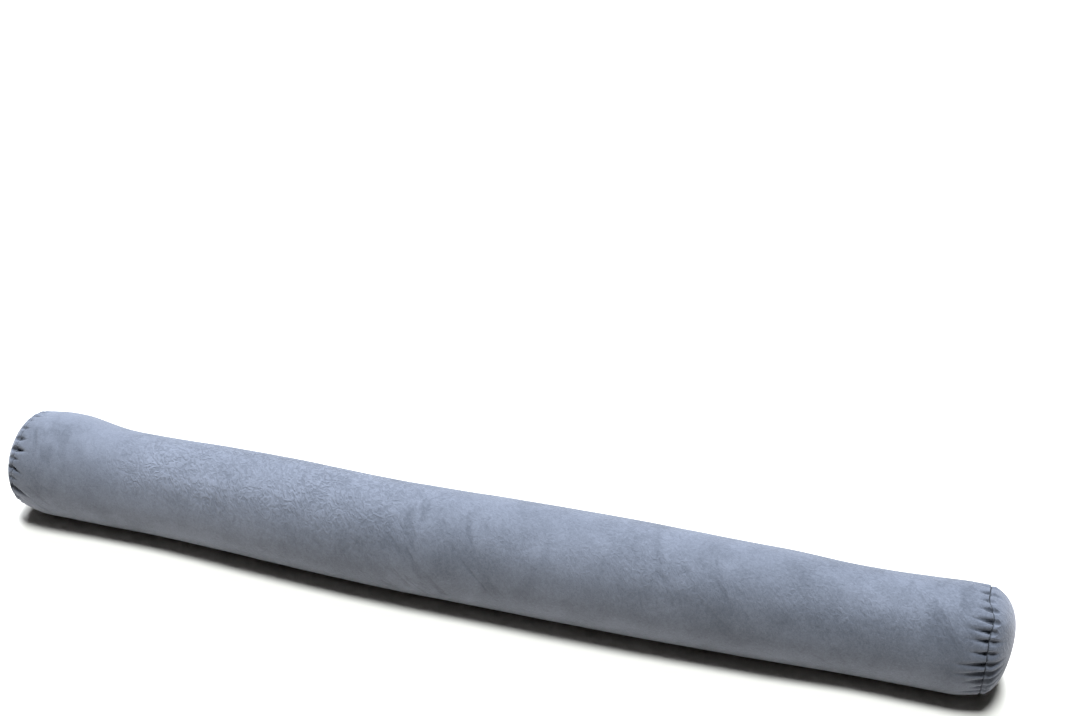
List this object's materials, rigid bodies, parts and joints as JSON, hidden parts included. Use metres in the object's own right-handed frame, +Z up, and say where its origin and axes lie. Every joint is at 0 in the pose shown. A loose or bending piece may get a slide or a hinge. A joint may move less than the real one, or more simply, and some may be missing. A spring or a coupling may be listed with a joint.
{
  "type": "draught excluder",
  "caption": "Long round draught excluder in grey-blue plush, plump with fibre filling, with domed end panels puckered into their seams and a settled flat base.",
  "frame": {"origin": "middle of the base, on the surface the bolster lies on", "axes": "+X along the bolster towards the end that is nearest in the picture, +Y towards its back, +Z up"},
  "size_m": [0.9406, 0.1086, 0.0956],
  "materials": {
    "plush_cover": "short brushed plush with a soft sheen"
  },
  "bodies": {
    "root": {"tube": "plush_cover", "end_panel_left": "plush_cover", "end_panel_right": "plush_cover"}
  },
  "joints": []
}
